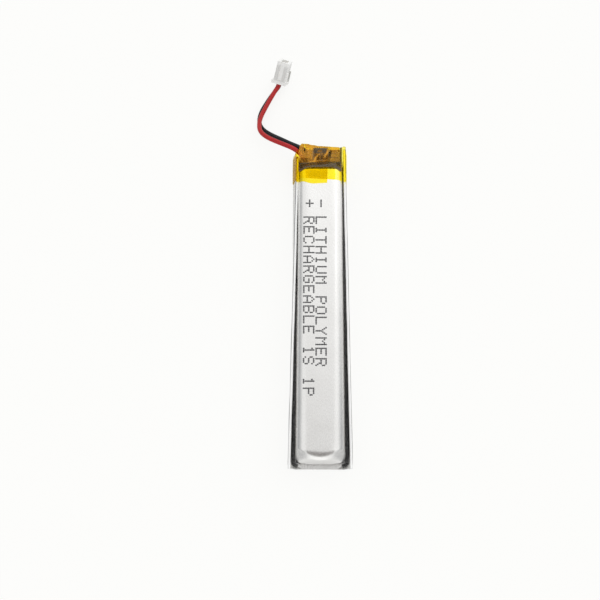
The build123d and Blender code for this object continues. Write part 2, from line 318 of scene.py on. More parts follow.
def flap_spot(y, side, depth, below, height=None):
    """Point in a flap's section: depth inwards from its outer face, and below its rim."""
    base, rim = flap_feet(y, side)
    height = height or rim_height(y, side)
    length = math.hypot(rim - base, RIM_HEIGHT)
    up_x, up_z = (rim - base) / length, RIM_HEIGHT / length
    along = height / up_z - below
    bow = FLAP_BOW * noise.noise(Vector((side * 3, y * 0.16, along * 0.25)))
    out = base - up_z * depth + up_x * along + bow
    return Vector((side * out, y, up_x * depth + up_z * along))


def hemmed_edge(y, side, depth, turn):
    """Centre line of a film up the flap at a depth, round a turn and down inside it."""
    rim = rim_height(y, side)
    points = []
    for step in range(SECTION_STEPS + 1):
        climb = (rim - FLAP_STARTS_AT - TURN_STARTS_AT) * step / SECTION_STEPS
        points.append(flap_spot(y, side, depth, rim - FLAP_STARTS_AT - climb))
    for step in range(SECTION_STEPS + 1):
        angle = math.pi * step / SECTION_STEPS
        points.append(flap_spot(
            y, side,
            depth + turn * (1 - math.cos(angle)),
            FILM / 2 + TURN_MIDDLE - turn * math.sin(angle),
        ))
    reach = min(HEM, rim - HEM_CLEARANCE) - depth
    for step in range(1, HEM_STEPS + 1):
        below = HEM_START + (reach - HEM_START) * step / HEM_STEPS
        points.append(flap_spot(y, side, depth + 2 * turn, below))
    return points


def stations():
    """Places along the cell where its films are cut into bands, closer near both ends."""
    foot = [FOOT_Y + step * FOOT_BAND for step in range(10)]
    middle = [FOOT_Y + 10 * FOOT_BAND + step * BODY_BAND for step in range(58)]
    head = [TUB_HEAD_Y + step * HEAD_BAND for step in range(10)]
    return foot + middle + head + [LEAD_SIDE_END_Y, 33.3, 33.6, 33.85, 34.05, HEAD_Y]


def laid_film(rows):
    """Film whose rows of points are the corners of one grid."""
    shell = bmesh.new()
    columns = len(rows[0])
    bmesh.ops.create_grid(shell, x_segments=columns - 1, y_segments=len(rows) - 1, size=1)
    for corner in shell.verts:
        column = round((corner.co.x + 1) / 2 * (columns - 1))
        row = round((corner.co.y + 1) / 2 * (len(rows) - 1))
        corner.co = rows[row][column]
    return shell


def trim_lead_side(shell):
    """Cuts off the left flap behind its end, where the leads pass."""
    past = [
        face for face in shell.faces
        if face.calc_center_median().y > LEAD_SIDE_END_Y
        and face.calc_center_median().x < -FLAP_FROM_X
        and face.calc_center_median().z > FLAP_FROM_Z
    ]
    bmesh.ops.delete(shell, geom=past, context="FACES")


def settle(shell, name, thickness, material):
    """Makes a piece of a shell drawn in millimetres, and gives it its thickness."""
    bmesh.ops.scale(shell, vec=(MM, MM, MM), verts=shell.verts)
    mesh = bpy.data.meshes.new(name)
    shell.to_mesh(mesh)
    shell.free()
    for face in mesh.polygons:
        face.use_smooth = True
    mesh.materials.append(material)
    piece = bpy.data.objects.new(name, mesh)
    bpy.context.collection.objects.link(piece)
    walls = piece.modifiers.new("thickness", "SOLIDIFY")
    walls.thickness = thickness * MM
    walls.offset = 0
    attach(piece, "root")
    return piece


def laminate():
    """Aluminium foil between a clear outer nylon and an inner resin: bright, with a soft sheen."""
    material, shading, shader = new_finish("laminate")
    at = shading.place()
    rolled = shading.grain(shading.place((9, 0.35, 9)), 2.0, 4.0)
    cloud = shading.grain(at, 0.16, 2.0)
    peel = shading.grain(at, 2.2, 2.0)
    across, along, up = shading.parts(at)
    out = abs(across)
    # The flaps' outer faces come in towards the board, the left one more. The fold at the rim is
    # painted pale, a painted highlight; the outline below it and the gutter inside the flap are
    # painted dark, as painted shade.
    left, right = (RIM_LEAN[side] / (HEAD_Y - FOOT_Y) for side in (-1, 1))
    slope = left + (right - left) * across.rise(-0.1, 0.1)
    inward = RIM_HALF - out - slope * (along - FOOT_Y)
    fold_highlight = up.rise(5.7, 5.85) * inward.rise(0.13, 0.2) * (1 - inward.rise(0.6, 0.68))
    outline_shade = up.rise(5.2, 5.6) * (1 - inward.rise(0.1, 0.17))
    gutter_shade = out.rise(4.5, 4.8) * inward.rise(0.55, 0.68) * (1 - up.rise(4.4, 5.7))
    bright = shading.tint(cloud, (0.77, 0.762, 0.748, 1), (0.85, 0.845, 0.835, 1))
    shaded = shading.tint(0.5 * gutter_shade + 0.6 * outline_shade, bright, (0.10, 0.105, 0.12, 1))
    dress(
        shading, shader,
        Base_Color=shading.tint(fold_highlight, shaded, (0.99, 0.99, 0.985, 1)),
        Metallic=0.94 - 0.6 * fold_highlight,
        Roughness=0.2 + 0.08 * rolled + 0.05 * cloud + 0.25 * fold_highlight,
        Normal=shading.relief(0.35 * rolled + peel, 0.012),
        Coat_Weight=0.25,
        Coat_Roughness=0.12,
    )
    return material


laminate_finish = laminate()
back_rows = []
for y in stations():
    sides = []
    for side in (-1, 1):
        base = flap_feet(y, side)[0]
        floor = [
            Vector((side * (base - BEND_START) * step / SECTION_STEPS, y, FILM / 2))
            for step in range(SECTION_STEPS + 1)
        ]
        bend = [Vector((side * (base - BEND_MIDDLE), y, FILM / 2 + BEND_LIFT))]
        sides.append(floor + bend + hemmed_edge(y, side, FILM / 2, 1.5 * FILM))
    left_half, right_half = sides
    back_rows.append(left_half[:0:-1] + right_half)
back_shell = laid_film(back_rows)
trim_lead_side(back_shell)
back_film = settle(back_shell, "back_film", FILM, laminate_finish)
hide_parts("pouch_back_sheet")

# Front film. The same laminate, deep drawn over a block into a tub that holds the roll; its
# flat flange is sealed to the back film, goes up both flaps with it and turns down once.
BODY_HALF, BODY_TOP = 5.0, 7.0
TUB_FOOT_Y = -33.9
DRAW_RADIUS, HEAD_EDGE = 2.35, 0.6
PLAN_RADIUS = 2.3
FACE_HALF, FACE_TAPER = 3.1, 0.5
SIDE_DRAFT, FOOT_CROWN = 0.35, 0.07
FLANGE_HALF, FLANGE_SEAM, BORDER_FROM_X = 5.3, 0.55, 3.6
FLANGE_Z, TERRACE_Z = 1.5 * FILM, 0.43
EPSILON = 0.01
DIMPLE, SPECK = Vector((3.1, -30.6)), Vector((2.1, -27.2))
FACE_CUTS = (-2.0, -1.2, -0.4, 0.4, 1.2, 2.0)


def tub_wander(point):
    """How far the drawn film stands out from its true shape at a point, in millimetres."""
    slow = noise.noise(Vector((point.x * 0.22, point.y * 0.07, point.z * 0.2)))
    quick = noise.noise(Vector((point.x * 0.7, point.y * 0.45, 9.0)))
    dimple = -0.10 * math.exp(-(point.xy - DIMPLE).length_squared / 0.18)
    speck = -0.02 * math.exp(-(point.xy - SPECK).length_squared / 0.02)
    return 0.035 * slow + 0.012 * quick + dimple + speck


tub = bmesh.new()
bmesh.ops.create_cube(tub, size=1)
wall = FILM / 2
top_z = BODY_TOP - wall
tub_size = Vector((2 * (BODY_HALF - wall), TUB_HEAD_Y - TUB_FOOT_Y - FILM, top_z - FLANGE_Z))
bmesh.ops.scale(tub, vec=tub_size, verts=tub.verts)
tub_middle = Vector((0, (TUB_HEAD_Y + TUB_FOOT_Y) / 2, (top_z + FLANGE_Z) / 2))
bmesh.ops.translate(tub, vec=tub_middle, verts=tub.verts)
uprights = [edge for edge in tub.edges if abs(edge.verts[0].co.z - edge.verts[1].co.z) > 1]
bmesh.ops.bevel(
    tub, geom=uprights, offset=PLAN_RADIUS, offset_type="OFFSET", segments=10, profile=0.5,
    affect="EDGES", material=-1,
)
brim = [edge for edge in tub.edges if all(corner.co.z > top_z - EPSILON for corner in edge.verts)]
bmesh.ops.bevel(
    tub, geom=brim, offset=DRAW_RADIUS - wall - 0.05, offset_type="OFFSET", segments=10, profile=0.5,
    affect="EDGES", material=-1,
)
above_flange = FLANGE_Z + EPSILON
underside = [face for face in tub.faces if face.calc_center_median().z < above_flange]
bmesh.ops.delete(tub, geom=underside, context="FACES_ONLY")
foot_loop = [edge for edge in tub.edges if edge.is_boundary]
spread = bmesh.ops.extrude_edge_only(tub, edges=foot_loop)
corner_x = BODY_HALF - wall - PLAN_RADIUS
corner_ys = (TUB_FOOT_Y + wall + PLAN_RADIUS, TUB_HEAD_Y - wall - PLAN_RADIUS)
# The flange goes straight out from the tub's foot to a rectangle.
for corner in [item for item in spread["geom"] if isinstance(item, bmesh.types.BMVert)]:
    start = Vector((
        min(max(corner.co.x, -corner_x), corner_x),
        min(max(corner.co.y, corner_ys[0]), corner_ys[1]),
    ))
    way = corner.co.xy - start
    reach_x = FLANGE_HALF - corner_x
    reach_y = (HEAD_Y - corner_ys[1]) if way.y > 0 else (corner_ys[0] - FOOT_Y)
    stretch = 1 / max(abs(way.x) / reach_x, abs(way.y) / reach_y)
    corner.co.x = start.x + way.x * stretch
    corner.co.y = start.y + way.y * stretch
for y in stations()[1:-1]:
    whole = list(tub.verts) + list(tub.edges) + list(tub.faces)
    bmesh.ops.bisect_plane(tub, geom=whole, plane_co=(0, y, 0), plane_no=(0, 1, 0), dist=1e-4)
for x in FACE_CUTS:
    whole = list(tub.verts) + list(tub.edges) + list(tub.faces)
    bmesh.ops.bisect_plane(tub, geom=whole, plane_co=(x, 0, 0), plane_no=(1, 0, 0), dist=1e-4)
for corner in tub.verts:
    if corner.co.z < above_flange and abs(corner.co.x) > FLANGE_HALF - EPSILON:
        base = flap_feet(corner.co.y, 1)[0]
        corner.co.x = math.copysign(base - FLANGE_SEAM, corner.co.x)
    elif corner.co.z < above_flange and corner.co.y > TUB_HEAD_Y:
        corner.co.z = TERRACE_Z
    # Near the flange the foot's corners are squarer than at the face.
    in_x, in_y = abs(corner.co.x) - corner_x, corner_ys[0] - corner.co.y
    if min(in_x, in_y) > 0 and math.hypot(in_x, in_y) < PLAN_RADIUS + 0.05:
        square = (in_x ** 4 + in_y ** 4) ** -0.25 * math.hypot(in_x, in_y)
        square = 1 + (square - 1) * glide(6.3, 4.2, corner.co.z)
        corner.co.x = math.copysign(corner_x + in_x * square, corner.co.x)
        corner.co.y = corner_ys[0] - in_y * square
    # The board end has a tighter edge. The foot end is drawn with more draft and a softer one,
    # and its edge is crowned.
    crush = corner.co.y - (TUB_HEAD_Y - wall - DRAW_RADIUS)
    if crush > 0 and corner.co.z > above_flange:
        corner.co.y = TUB_HEAD_Y - wall - (DRAW_RADIUS - crush) * HEAD_EDGE / DRAW_RADIUS
    footward = (TUB_HEAD_Y - corner.co.y) / (TUB_HEAD_Y - TUB_FOOT_Y)
    if corner.co.z > above_flange:
        face_half = FACE_HALF - FACE_TAPER * footward
        side_half = BODY_HALF - wall + SIDE_DRAFT * footward
        flat_half = BODY_HALF - DRAW_RADIUS
        out = abs(corner.co.x)
        if out > flat_half:
            share = (out - flat_half) / (BODY_HALF - wall - flat_half)
            out = face_half + (side_half - face_half) * share
        else:
            out *= face_half / flat_half
        corner.co.x = math.copysign(out, corner.co.x)
        at_edge = glide(-30.4, -33.0, corner.co.y) * glide(4.5, 6.5, corner.co.z)
        corner.co.y += FOOT_CROWN * corner.co.x ** 2 * at_edge
tub.normal_update()
moves = [(corner, corner.normal * tub_wander(corner.co)) for corner in tub.verts if corner.co.z > 1]
for corner, move in moves:
    corner.co += move


def flange_side(edge):
    """-1 or 1 for an edge along the flange's left or right border, and 0 for any other."""
    one, other = (corner.co for corner in edge.verts)
    if edge.is_boundary and abs(one.y - other.y) > 1e-3 and min(abs(one.x), abs(other.x)) > BORDER_FROM_X:
        return 1 if one.x > 0 else -1
    return 0


for side in (-1, 1):
    edges = [edge for edge in tub.edges if flange_side(edge) == side]
    for step in range(len(hemmed_edge(0, 1, 1.5 * FILM, 0.5 * FILM))):
        grown = bmesh.ops.extrude_edge_only(tub, edges=edges)["geom"]
        edges = [item for item in grown if isinstance(item, bmesh.types.BMEdge)]
        edges = [edge for edge in edges if len(edge.link_faces) == 1 and edge.is_boundary]
        edges = [edge for edge in edges if abs(edge.verts[0].co.y - edge.verts[1].co.y) > 1e-3]
        for corner in {corner for edge in edges for corner in edge.verts}:
            corner.co = hemmed_edge(corner.co.y, side, 1.5 * FILM, 0.5 * FILM)[step]
trim_lead_side(tub)
bmesh.ops.recalc_face_normals(tub, faces=tub.faces)
tub_surface = BVHTree.FromBMesh(tub)
front_film = settle(tub, "front_film", FILM, laminate_finish)
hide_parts("pouch_tub")

# Print. Two plain lines and the two pole signs, jetted on the drawn film as rows of grey dots.
# Each sign fills a grid that is five dots wide and seven high.
GRID_MIDDLE = 3
DOT_PITCH = 0.345
DOT_RADIUS, DOT_NARROWING = 0.205, 0.86
INK, INK_HEIGHT = 0.008, 0.012
PRINT_LINES = (
    (0.15, 18.12, 2.19, "LITHIUM POLYMER"),
    (-2.43, 18.12, 2.165, "RECHARGEABLE 1S 1P"),
    (0.14, 21.9, 2.16, "-"),
    (-2.31, 21.9, 2.16, "+"),
)
STROKES = {
    "L": "06 00 40", "I": "16 36/26 20/10 30", "T": "06 46/26 20", "H": "06 00/46 40/03 43",
    "U": "06 01 10 30 41 46", "M": "00 06 24 46 40", "P": "00 06 36 45 44 33 03",
    "O": "10 01 05 16 36 45 41 30 10", "Y": "06 23 46/23 20", "E": "46 06 00 40/03 33",
    "R": "00 06 36 45 44 33 03/23 40", "C": "45 36 16 05 01 10 30 41", "A": "00 04 26 44 40/02 42",
    "G": "45 36 16 05 01 10 30 41 43 23", "B": "00 06 36 45 44 33 03/33 42 41 30 00",
    "1": "15 26 20/10 30", "S": "45 36 16 05 04 13 33 42 41 30 10 01", "-": "03 43", "+": "03 43/25 21",
}


def stroke_dots(strokes):
    """Dots of one sign on a grid that is five wide and seven high, without repeats."""
    dots = []
    for stroke in strokes.split("/"):
        corners = [(int(pair[0]), int(pair[1])) for pair in stroke.split()]
        for (x0, y0), (x1, y1) in zip(corners, corners[1:]):
            count = max(abs(x1 - x0), abs(y1 - y0))
            for step in range(count + 1):
                dot = (x0 + (x1 - x0) * step / count, y0 + (y1 - y0) * step / count)
                if dot not in dots:
                    dots.append(dot)
    return dots


def ink():
    """Grey ink, uneven from dot to dot."""
    material, shading, shader = new_finish("grey_ink")
    wear = shading.grain(shading.place(), 2.6, 4.0)
    dress(
        shading, shader,
        Base_Color=shading.tint(wear, (0.035, 0.035, 0.04, 1), (0.16, 0.16, 0.165, 1)),
        Roughness=0.5,
        Metallic=0.2,
    )
    return material


print_shell = bmesh.new()
for middle_x, start_y, pitch, words in PRINT_LINES:
    for place, sign in enumerate(words):
        for along, up in stroke_dots(STROKES.get(sign, "")):
            x = middle_x + (up - GRID_MIDDLE) * DOT_PITCH
            y = start_y - place * pitch - along * DOT_PITCH
            spot, normal, _, _ = tub_surface.ray_cast(Vector((x, y, 20)), Vector((0, 0, -1)))
            normal = normal if normal.z > 0 else -normal
            turn = normal.to_track_quat("Z", "Y").to_matrix().to_4x4()
            disc = bmesh.ops.create_circle(print_shell, cap_ends=True, segments=8, radius=DOT_RADIUS)
            bmesh.ops.scale(print_shell, vec=(DOT_NARROWING, 1.0, 1.0), verts=disc["verts"])
            bmesh.ops.transform(print_shell, matrix=turn, verts=disc["verts"])
            on_film = spot + normal * (FILM / 2 + INK_HEIGHT)
            bmesh.ops.translate(print_shell, vec=on_film, verts=disc["verts"])
printed_lines = settle(print_shell, "printed_lines", INK, ink())

# Board. A strip of glass laminate with the parts that guard the cell, lying across its end under
# the tape. The tabs are folded under it, and the two leads are soldered on top.
ALONG_STRIP = (8, 1, 8)


def matt_finish(name, dark, light, roughness, scale=3.0, relief=0.01):
    """Plain coloured finish with some mottle and a fine relief."""
    material, shading, shader = new_finish(name)
    mottle = shading.grain(shading.place(), scale)
    dress(
        shading, shader,
        Base_Color=shading.tint(mottle, dark, light),
        Roughness=roughness + 0.15 * mottle,
        Normal=shading.relief(mottle, relief),
    )
    return material


bare_laminate = matt_finish("glass_laminate", (0.20, 0.16, 0.06, 1), (0.34, 0.27, 0.11, 1), 0.3)
repaint("circuit_board", bare_laminate)
moulded = matt_finish("moulded_black", (0.012, 0.011, 0.011, 1), (0.03, 0.028, 0.027, 1), 0.45, 8.0)
repaint("protection_ic", moulded)
repaint("switch_mosfet", moulded)
ceramic = matt_finish("fired_ceramic", (0.22, 0.14, 0.08, 1), (0.34, 0.24, 0.15, 1), 0.4, 6.0)
repaint("sense_resistors", ceramic)
repaint("filter_capacitor", ceramic)
tin = metal_finish("solder_tin", (0.6, 0.6, 0.6, 1), (0.8, 0.8, 0.8, 1), 0.2)
repaint("solder_joints", tin)
aluminium = metal_finish(
    "rolled_aluminium", (0.72, 0.72, 0.73, 1), (0.84, 0.84, 0.85, 1), 0.3, 3.0, ALONG_STRIP,
)
repaint("positive_tab", aluminium)
nickel = metal_finish(
    "rolled_nickel", (0.56, 0.54, 0.50, 1), (0.68, 0.66, 0.62, 1), 0.3, 3.0, ALONG_STRIP,
)
repaint("negative_tab", nickel)
resin = matt_finish("seal_resin", (0.62, 0.60, 0.52, 1), (0.72, 0.70, 0.62, 1), 0.35)
repaint("tab_seal_positive", resin)
repaint("tab_seal_negative", resin)
foam = matt_finish("black_foam", (0.012, 0.012, 0.014, 1), (0.05, 0.05, 0.055, 1), 0.8, 9.0, 0.05)
repaint("spacer_pad", foam)
paper = matt_finish("barley_paper", (0.16, 0.26, 0.18, 1), (0.22, 0.34, 0.24, 1), 0.7, 5.0)
repaint("board_insulator", paper)

# Roll. Two coated foils wound with two porous films between them, and closed with a strip of
# tape. It fills the tub and none of it shows.
coating = matt_finish("cathode_mix", (0.010, 0.010, 0.011, 1), (0.028, 0.028, 0.03, 1), 0.75, 12.0)
graphite = matt_finish("graphite_mix", (0.02, 0.02, 0.023, 1), (0.045, 0.045, 0.05, 1), 0.6, 12.0)
porous = matt_finish("porous_film", (0.78, 0.78, 0.77, 1), (0.88, 0.88, 0.87, 1), 0.55, 6.0)
repaint("cathode_sheet", coating)
repaint("anode_sheet", graphite)
repaint("separator_inner", porous)
repaint("separator_outer", porous)
blue_film = matt_finish("blue_film", (0.02, 0.10, 0.24, 1), (0.04, 0.16, 0.34, 1), 0.2, 2.0)
repaint("roll_end_tape", blue_film)

# Plug. A moulded white nylon housing for two crimped brass contacts, with a flange at its wire
# end and two ribs that find its way in the header. Its faces are fluted, and the shade in the
# flutes is painted as darker stripes.
FLUTE_PITCH, FLUTE_START = 1.1, 0.9
nylon, nylon_shading, nylon_shader = new_finish("white_nylon")
nylon_place = nylon_shading.place()
nylon_cloud = nylon_shading.grain(nylon_place, 0.5)
nylon_fine = nylon_shading.grain(nylon_place, 9.0)


def plug_measure(way):
    """Distance from the plug's middle along one of its axes, in millimetres."""
    both = {0: nylon_place, 1: way}
    reach = nylon_shading.add("ShaderNodeVectorMath", {"operation": "DOT_PRODUCT"}, both, output=1)
    return reach - way.dot(PLUG_CENTRE)


from_middle = plug_measure(plug_across)
along_plug = plug_measure(plug_axis)
ripple = from_middle.math("SINE", from_middle * (math.tau / FLUTE_PITCH) + FLUTE_START)
# Painted shade: darker stripes where the flutes are.
flute_shade = ripple.rise(0.1, 0.8) * along_plug.rise(0.5, 0.9) * (1 - along_plug.rise(4.0, 4.5))
nylon_white = nylon_shading.tint(nylon_cloud, (0.90, 0.90, 0.885, 1), (0.96, 0.96, 0.95, 1))
dress(
    nylon_shading, nylon_shader,
    Base_Color=nylon_shading.tint(flute_shade, nylon_white, (0.62, 0.62, 0.60, 1)),
    Roughness=0.38 + 0.15 * nylon_fine,
    Normal=nylon_shading.relief(nylon_fine, 0.01),
)
repaint("connector_housing", nylon)
brass = metal_finish("gilt_brass", (0.62, 0.46, 0.18, 1), (0.80, 0.64, 0.32, 1), 0.25)
repaint("contact_positive", brass)
repaint("contact_negative", brass)

# Tape. Thin amber polyimide, wound once and a bit round the board, the flaps and the end of the
# tub, and pressed down between them; a cap of the same tape is folded over the end.
TAPE = 0.05
RIM_GRIP = 4 * FILM
TAPE_FOOT, TAPE_HEAD, TAPE_SLANT = 26.75, 35.35, 0.055
TOP_HALF = 4.7
OVERLAP_FOOT, OVERLAP_X, OVERLAP_LIFT, OVERLAP_SKEW = 25.8, 1.45, 0.07, 0.35
ROWS, FULL_STEPS, OVERLAP_STEPS = 44, 48, 30
OVER_TUB, SHOULDER_X, SHOULDER_FALL = BODY_TOP + 0.05, 3.0, 0.85
CHIP_X, CHIP_Y = 0.5, 33.35
OVER_PARTS, OVER_PADS, OVER_CHIP = 4.95, 4.6, 5.3
PLEAT_X, PLEAT_WIDTH, PLEAT_RISE = 0.95, 0.4, 0.22
SLIT_X, SLIT_HALF = -3.42, 0.13
SLIT_FROM_Y, SLIT_FROM_Z = 33.5, 3.0
CAP_FROM_X, CAP_WIDTH, CAP_STEPS = -4.1, 8.3, 24
CAP_LIFT, CAP_BEND, CAP_FOOT_Z = 0.06, 0.2, 0.05


def tape_head(x):
    """Upper edge of the tape, which was put on a little askew."""
    return TAPE_HEAD - TAPE_SLANT * (x + 4.5)


def tape_top(x, y, lift):
    """Height of the tape between the two rims."""
    out = abs(x)
    shoulder = max(0, out - SHOULDER_X) / (BODY_HALF - SHOULDER_X)
    over_tub = OVER_TUB - SHOULDER_FALL * shoulder ** 1.5
    # The tape goes down behind the tub's edge, which is rounded in plan, to the board.
    round_off = PLAN_RADIUS ** 2 - max(0, out - (BODY_HALF - PLAN_RADIUS)) ** 2
    round_off = math.sqrt(max(0, round_off)) - PLAN_RADIUS
    sunk = glide(TUB_HEAD_Y - 0.35 + round_off, 31.85 + 0.16 * x + 0.3 * round_off, y)
    # It stands like a tent over the chip, with a pleat down either side, and is lifted by the
    # strands and leads on the left and by both rims.
    from_chip_x, from_chip_y = abs(x - CHIP_X), abs(y - CHIP_Y)
    tent = 1 - glide(1.3, 2.2 + 0.25 * math.sin(3 * y), from_chip_x)
    tent *= 1 - glide(0.6, 1.75, from_chip_y)
    pleat = PLEAT_RISE * math.exp(-((from_chip_x - PLEAT_X) / PLEAT_WIDTH) ** 2)
    pleat *= glide(31.6, 32.4, y) * glide(34, 32.9, y)
    over_parts = OVER_PARTS - (OVER_PARTS - OVER_PADS) * glide(32.0, 32.8, y)
    over_board = over_parts + (OVER_CHIP - over_parts) * tent + pleat
    over_wires = 0.4 * glide(-0.4, -1.4, x) + 0.5 * glide(-1.7, -2.8, x)
    over_board = max(over_board, over_parts + over_wires * glide(30.4, 32.2, y))
    over_board += (RIM_HEIGHT - over_board) * glide(4.4, 4.85, out)
    crease = 0.07 * noise.noise(Vector((x * 0.8, y * 0.9, 4.0)))
    crease += 0.03 * noise.noise(Vector((x * 2.4, y * 2.1, 8.0)))
    return over_tub + (over_board - over_tub) * sunk + crease * (0.25 + sunk) + lift


def tape_end(kind, value):
    """Upper edge of the tape in each part of a turn; it is lower where the leads come out."""
    if kind == "top":
        return tape_head(TOP_HALF * value) - 0.5 * glide(0.9, 1.0, abs(value))
    ends = {"left_face": 33.45, "left_rim": 33.75, "right_face": 34.6, "right_rim": 34.6, "back": 33.6}
    return ends[kind]


def tape_row(share, foot, lift, columns, skew=0.0):
    """One turn round the end of the cell, at a share of the way from its lower edge."""
    row = []
    for kind, value in columns:
        edge = foot(kind, value)
        side = -1 if kind.startswith("left") else 1
        y = edge + (tape_end(kind, value) - edge) * share
        slump = 0.35 * glide(34.0, 34.6, y) if side > 0 else 0.3 * glide(31, 33.5, y)
        height = RIM_HEIGHT - slump
        if kind == "back":
            row.append(Vector((value, y, 0.03)))
        elif kind == "top":
            half = flap_feet(y, 1 if value > 0 else -1)[1] - RIM_GRIP
            x = value * half + skew * share * glide(-1, 0, value)
            row.append(Vector((x, y, tape_top(x, y, lift))))
        elif kind.endswith("face"):
            row.append(flap_spot(y, side, -0.04 - lift, height * value, height))
        else:
            row.append(flap_spot(y, side, value * RIM_GRIP, -0.05 - lift, height))
    return row


def full_foot(kind, value):
    """Lower edge of the first turn; down the flaps' faces it draws back towards the board."""
    climbs = {"top": -0.25 * value, "rim": -0.4, "face": 0.2 + 0.75 * value, "back": 0.9}
    return TAPE_FOOT + climbs[kind.split("_")[-1]]


def overlap_foot(kind, value):
    """Lower edge of the second turn, which wanders from the first."""
    wander = 0.1 * math.sin(3 * value) + 0.5 * glide(-0.3, -0.9, value)
    climbs = {"top": wander, "rim": 0.6, "face": 1.2 + 0.75 * value, "back": 1.9}
    return OVERLAP_FOOT + climbs[kind.split("_")[-1]]


def tape_columns(top_to, steps, right):
    """Kinds and places of the points in a row: back, left face, left rim, top, and the right."""
    columns = [("back", x) for x in (3.0, 0.0, -3.0, -5.6)]
    columns += [("left_face", 0.93 - 0.17 * step) for step in range(6)]
    columns += [("left_rim", 0.1), ("left_rim", 0.5), ("left_rim", 0.9)]
    columns += [("top", (top_to + 1) * step / steps - 1) for step in range(steps + 1)]
    if right:
        columns += [("right_rim", 0.9), ("right_rim", 0.5), ("right_rim", 0.1)]
        columns += [("right_face", 0.08 + 0.17 * step) for step in range(6)]
        columns += [("back", 5.6), ("back", 3.0)]
    return columns


def amber():
    """Clear amber film: it tints what lies behind it and has a little body and a gloss."""
    material, shading, shader = new_finish("amber_film")
    at = shading.place()
    cloud = shading.grain(at, 0.7)
    across, along, up = shading.parts(at)
    out = abs(across)
    ragged = 0.5 * shading.grain(at, 1.6) - 0.25

    def patch(middle_x, middle_y, half_x, half_y):
        """1 on a rectangle with soft and slightly ragged edges, and 0 round it."""
        from_x = abs(across - middle_x) + ragged
        from_y = abs(along - middle_y) + ragged
        inside_x = 1 - from_x.rise(half_x - 0.3, half_x + 0.3)
        return inside_x * (1 - from_y.rise(half_y - 0.25, half_y + 0.25))

    def ridge(middle_x, middle_y, half_y):
        """1 along a slanting crease, where the film runs down off the chip."""
        from_y = along - middle_y
        from_x = across - middle_x - 0.53 * from_y
        inside_x = 1 - abs(from_x).rise(0.12, 0.38)
        return inside_x * (1 - abs(from_y).rise(half_y - 0.3, half_y + 0.3))

    # Painted shade: between the tub and the board nothing lies under the film, and the film is
    # painted dark there and down the inside of the right flap. Over the chip it is dark as well.
    on_top = up.rise(4.0, 4.4)
    past_tub = (along + 0.8 * out.rise(2.2, 4.6)).rise(29.3, 29.5)
    gap_shade = past_tub * (1 - (along - 0.035 * across).rise(31.05, 31.3)) * (1 - out.rise(4.55, 4.75))
    gutter_shade = past_tub * across.rise(4.3, 4.45) * (1 - up.rise(5.75, 5.95))
    # A painted highlight: a glint on the chip's top is left out of the dark.
    glint = patch(-0.05, 33.7, 0.45, 0.2)
    dark = gap_shade.most(gutter_shade).most(patch(0.0, 33.9, 1.5, 0.7) * (1 - glint))
    # Painted shade on either side of the chip and below it, between the pleats.
    dark = dark.most(patch(2.1, 33.2, 0.35, 0.75)).most(0.5 * patch(0.3, 32.4, 0.3, 0.9))
    dark = dark.most(0.7 * patch(-1.5, 33.0, 0.2, 1.3))
    # The pleats off the chip get a painted highlight: bright orange, and never dark.
    pleat_highlights = ridge(-1.0, 32.1, 0.7) + ridge(1.3, 33.0, 0.9)
    dark = dark * on_top * (1 - pleat_highlights)
    # Over the board the film looks brown; round the chip it is painted darker brown as painted shade,
    # on the pleats it gets a painted highlight, and on the left flap it is ochre.
    board_side = past_tub * on_top * (1 - out.rise(4.6, 4.8))
    lit = shading.tint(cloud, (0.98, 0.66, 0.02, 1), (1.0, 0.74, 0.03, 1))
    left_face = (0 - across).rise(5.1, 5.35)
    browned = shading.tint(board_side, lit, (0.68, 0.34, 0.07, 1))
    shade_round_chip = 0.6 * on_top * patch(0.35, 33.1, 1.9, 1.5)
    browned = shading.tint(shade_round_chip, browned, (0.30, 0.13, 0.03, 1))
    browned = shading.tint(on_top * pleat_highlights, browned, (0.98, 0.52, 0.12, 1))
    browned = shading.tint(left_face, browned, (0.78, 0.46, 0.10, 1))
    dress(
        shading, shader,
        Base_Color=shading.tint(dark, browned, (0.095, 0.06, 0.025, 1)),
        Metallic=0.75 - 0.5 * dark,
        Roughness=0.22 + 0.12 * cloud,
        Normal=shading.relief(cloud, 0.02),
        Coat_Weight=0.4,
        Coat_Roughness=0.08,
    )
    # The clear part's red is a little above 1, so what shows through comes out a little brighter in red:
    # a slight painted brightening.
    clear = shading.add("ShaderNodeBsdfTransparent", inputs={"Color": (1.03, 0.972, 0.43, 1)})
    body = 0.004 + 0.01 * cloud + 0.24 * board_side + 0.45 * dark + 0.32 * left_face
    own = Field(shading, shader.outputs["BSDF"])
    mixed = shading.add("ShaderNodeMixShader", inputs={0: body, 1: clear, 2: own})
    shading.feed(shading.tree.nodes["Material Output"].inputs["Surface"], mixed)
    return material


amber_film = amber()
full_columns = tape_columns(1, FULL_STEPS, True)
overlap_columns = tape_columns(OVERLAP_X / BODY_HALF, OVERLAP_STEPS, False)
first_turn = laid_film([
    tape_row(step / ROWS, full_foot, 0.0, full_columns) for step in range(ROWS + 1)
])
second_turn = laid_film([
    tape_row(step / ROWS, overlap_foot, OVERLAP_LIFT, overlap_columns, OVERLAP_SKEW)
    for step in range(ROWS + 1)
])
for turn in (first_turn, second_turn):
    # A slit beside the leads let the tape's corner be folded round them.
    cut = []
    for face in turn.faces:
        middle = face.calc_center_median()
        past = middle.y > SLIT_FROM_Y and middle.z > SLIT_FROM_Z
        if past and abs(middle.x - SLIT_X) < SLIT_HALF:
            cut.append(face)
    bmesh.ops.delete(turn, geom=cut, context="FACES")
    bmesh.ops.recalc_face_normals(turn, faces=turn.faces)
tape_turn = settle(first_turn, "tape_turn", TAPE, amber_film)
tape_overlap = settle(second_turn, "tape_overlap", TAPE, amber_film)
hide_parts("tape_wrap")

